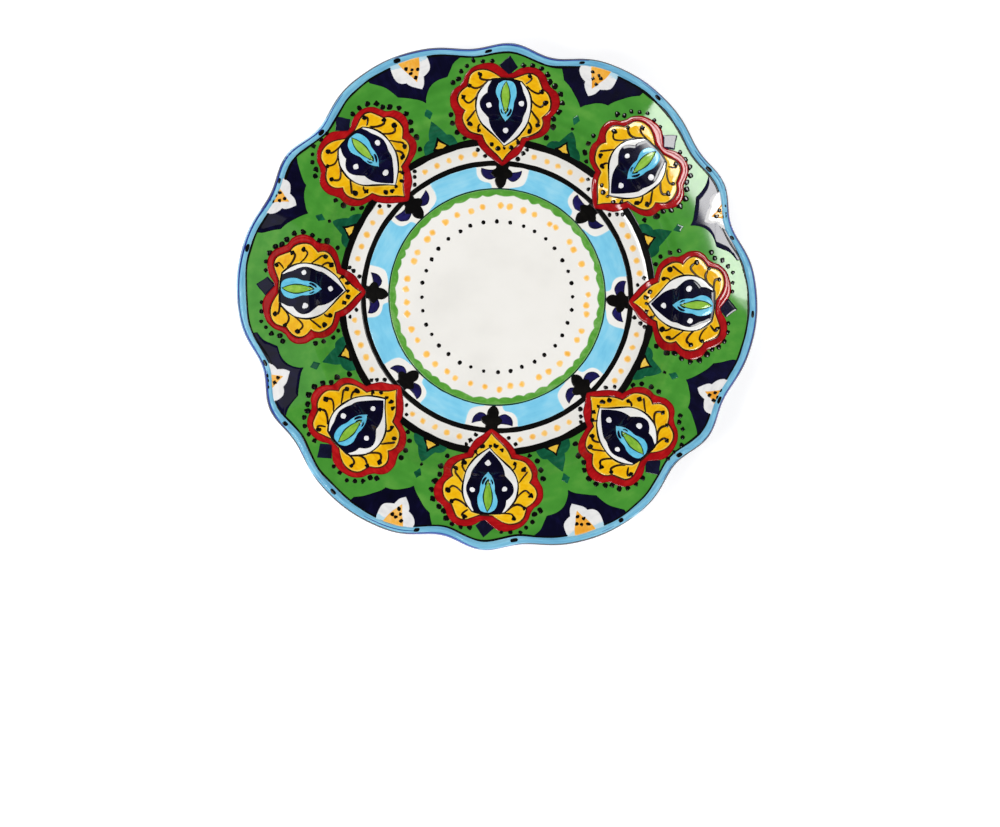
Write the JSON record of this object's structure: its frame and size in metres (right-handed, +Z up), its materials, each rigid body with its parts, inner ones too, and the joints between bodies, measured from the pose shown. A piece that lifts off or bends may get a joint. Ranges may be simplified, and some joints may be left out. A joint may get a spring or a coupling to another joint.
{
  "type": "ceramic plate",
  "caption": "Round ceramic plate with a wavy lobed rim, rolled lip and foot ring, its face painted with palmettes and rings in layered enamel.",
  "frame": {"origin": "centre of the foot ring's resting face, on the table", "axes": "+Z up out of the well, +Y towards the top of the painted pattern, +X to its right"},
  "size_m": [0.2892, 0.2816, 0.0349],
  "materials": {
    "clay_body": "bare fired clay, matt and slightly gritty",
    "back_glaze": "very dark cobalt glaze, glossy",
    "face_glaze": "white ground under clear glaze, glossy",
    "lip_glaze": "light blue, glossy, brushed",
    "lip_line": "black line under clear glaze",
    "lip_streaks": "royal blue brush strokes under clear glaze",
    "lip_spots": "black spots under clear glaze",
    "navy_border": "navy enamel, glossy",
    "green_clouds": "leaf green enamel, brushed",
    "cloud_diamonds": "dark green enamel",
    "cloud_dots": "black enamel dots",
    "cloud_leaves": "dark green enamel",
    "leaf_shadows": "near-black green enamel",
    "leaf_triangles": "yellow enamel",
    "white_blossoms": "white enamel",
    "blossom_hearts": "orange-yellow enamel, faded downwards",
    "blossom_dots": "black-brown enamel dots",
    "red_borders": "raised red enamel with darker edges",
    "petal_outlines": "thin dark brown line",
    "yellow_petals": "yellow enamel, mottled",
    "petal_scrolls": "black-brown brush lines",
    "petal_dots": "black-brown drops",
    "drop_outlines": "black-brown line",
    "navy_hearts": "navy enamel, glossy",
    "heart_dots": "white enamel drops",
    "blue_flames": "light blue enamel",
    "lime_leaves": "lime green enamel",
    "leaf_outlines": "dark green-black line",
    "top_diamonds": "navy enamel",
    "edge_dots": "black enamel drops",
    "tip_dots": "black enamel drops",
    "outer_black_ring": "black enamel ring, brushed",
    "outer_amber_dots": "soft amber dots",
    "inner_black_ring": "black enamel ring, brushed",
    "blue_ring": "light blue enamel ring, brushed",
    "fleurs": "navy to black enamel",
    "fine_line": "fine black-green line",
    "scallop_ring": "green enamel with a dabbed inner edge",
    "inner_amber_dots": "soft amber dots",
    "inner_black_dots": "soft black dots"
  },
  "bodies": {
    "root": {"clay_body": "clay_body", "back_glaze": "back_glaze", "face_glaze": "face_glaze", "lip_glaze": "lip_glaze", "lip_line": "lip_line", "lip_streaks": "lip_streaks", "lip_spots": "lip_spots", "navy_border": "navy_border", "green_clouds": "green_clouds", "cloud_diamonds": "cloud_diamonds", "cloud_dots": "cloud_dots", "cloud_leaves": "cloud_leaves", "leaf_shadows": "leaf_shadows", "leaf_triangles": "leaf_triangles", "white_blossoms": "white_blossoms", "blossom_hearts": "blossom_hearts", "blossom_dots": "blossom_dots", "red_borders": "red_borders", "petal_outlines": "petal_outlines", "yellow_petals": "yellow_petals", "petal_scrolls": "petal_scrolls", "petal_dots": "petal_dots", "drop_outlines": "drop_outlines", "navy_hearts": "navy_hearts", "heart_dots": "heart_dots", "blue_flames": "blue_flames", "lime_leaves": "lime_leaves", "leaf_outlines": "leaf_outlines", "top_diamonds": "top_diamonds", "edge_dots": "edge_dots", "tip_dots": "tip_dots", "outer_black_ring": "outer_black_ring", "outer_amber_dots": "outer_amber_dots", "inner_black_ring": "inner_black_ring", "blue_ring": "blue_ring", "fleurs": "fleurs", "fine_line": "fine_line", "scallop_ring": "scallop_ring", "inner_amber_dots": "inner_amber_dots", "inner_black_dots": "inner_black_dots"}
  },
  "joints": []
}
